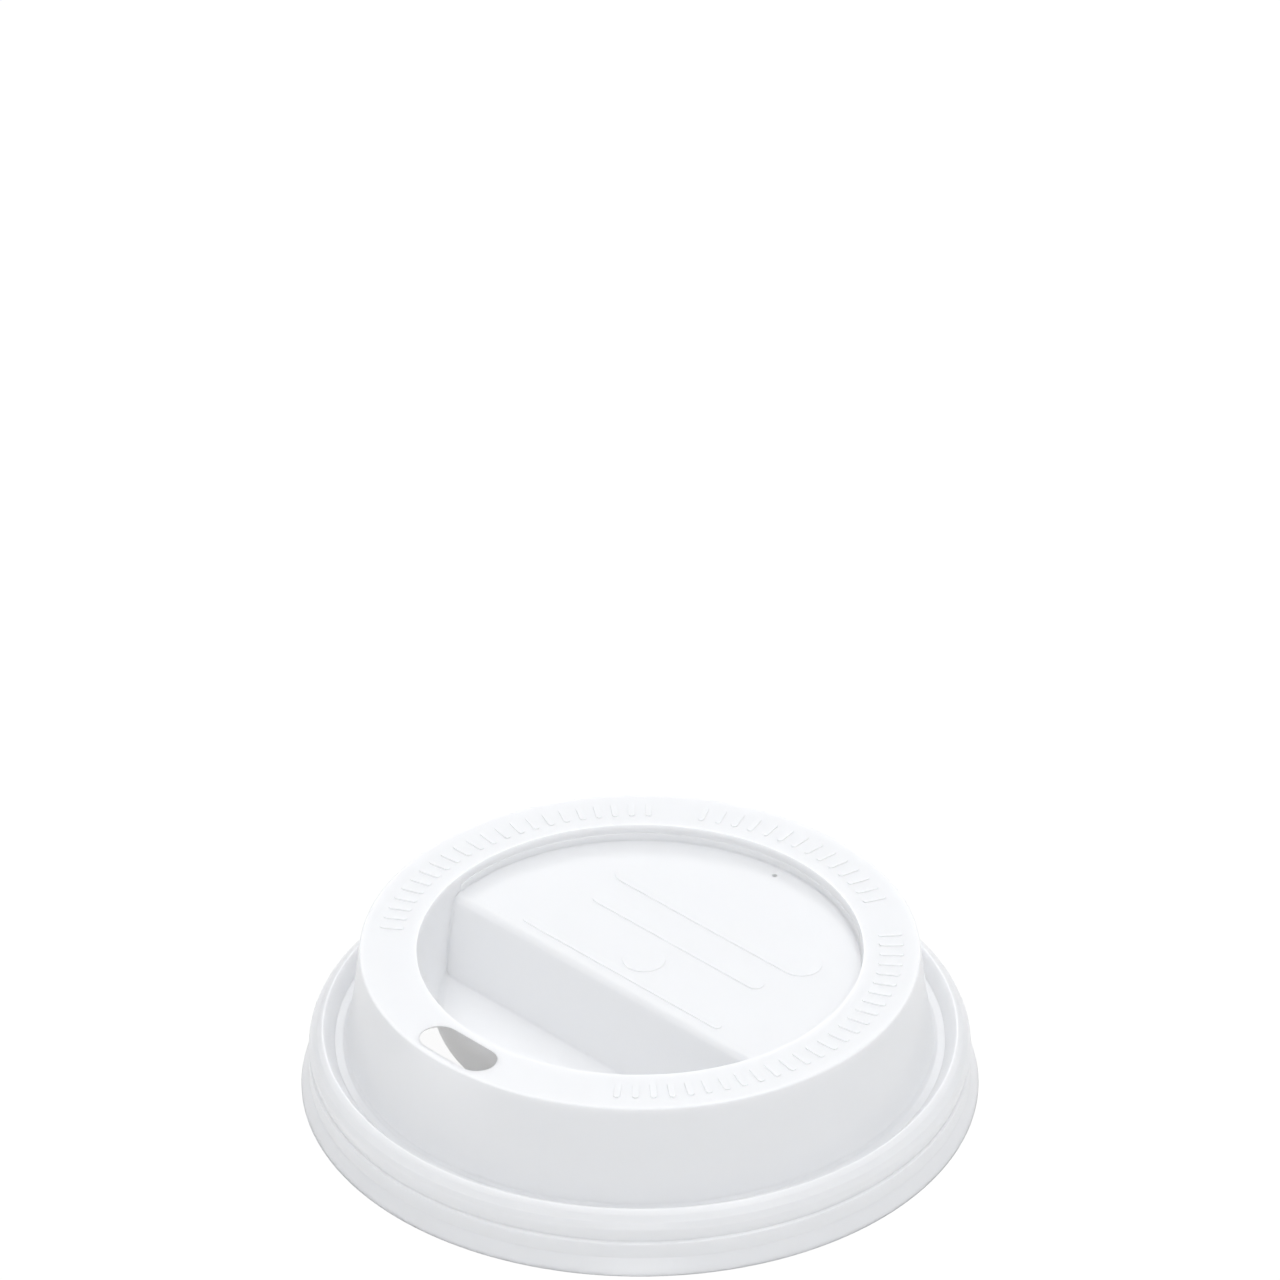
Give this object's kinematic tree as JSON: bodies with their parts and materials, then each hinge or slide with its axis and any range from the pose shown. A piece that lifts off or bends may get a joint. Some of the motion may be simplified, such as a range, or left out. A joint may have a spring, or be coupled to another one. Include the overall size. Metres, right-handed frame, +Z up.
{
  "type": "coffee cup lid",
  "caption": "Round white takeaway coffee cup lid with a raised ring, a stepped recess for the lips, a sip hole, a vent and a beaded skirt that grips the cup rim.",
  "frame": {"origin": "centre of the skirt's lower edge, which the lid stands on", "axes": "+Z up through the ring; the sip hole is on the -Y side and the step of the recess runs along X"},
  "size_m": [0.084, 0.084, 0.0193],
  "materials": {
    "polystyrene": "satin white, formed from thin sheet"
  },
  "bodies": {
    "root": {"lid": "polystyrene"}
  },
  "joints": []
}
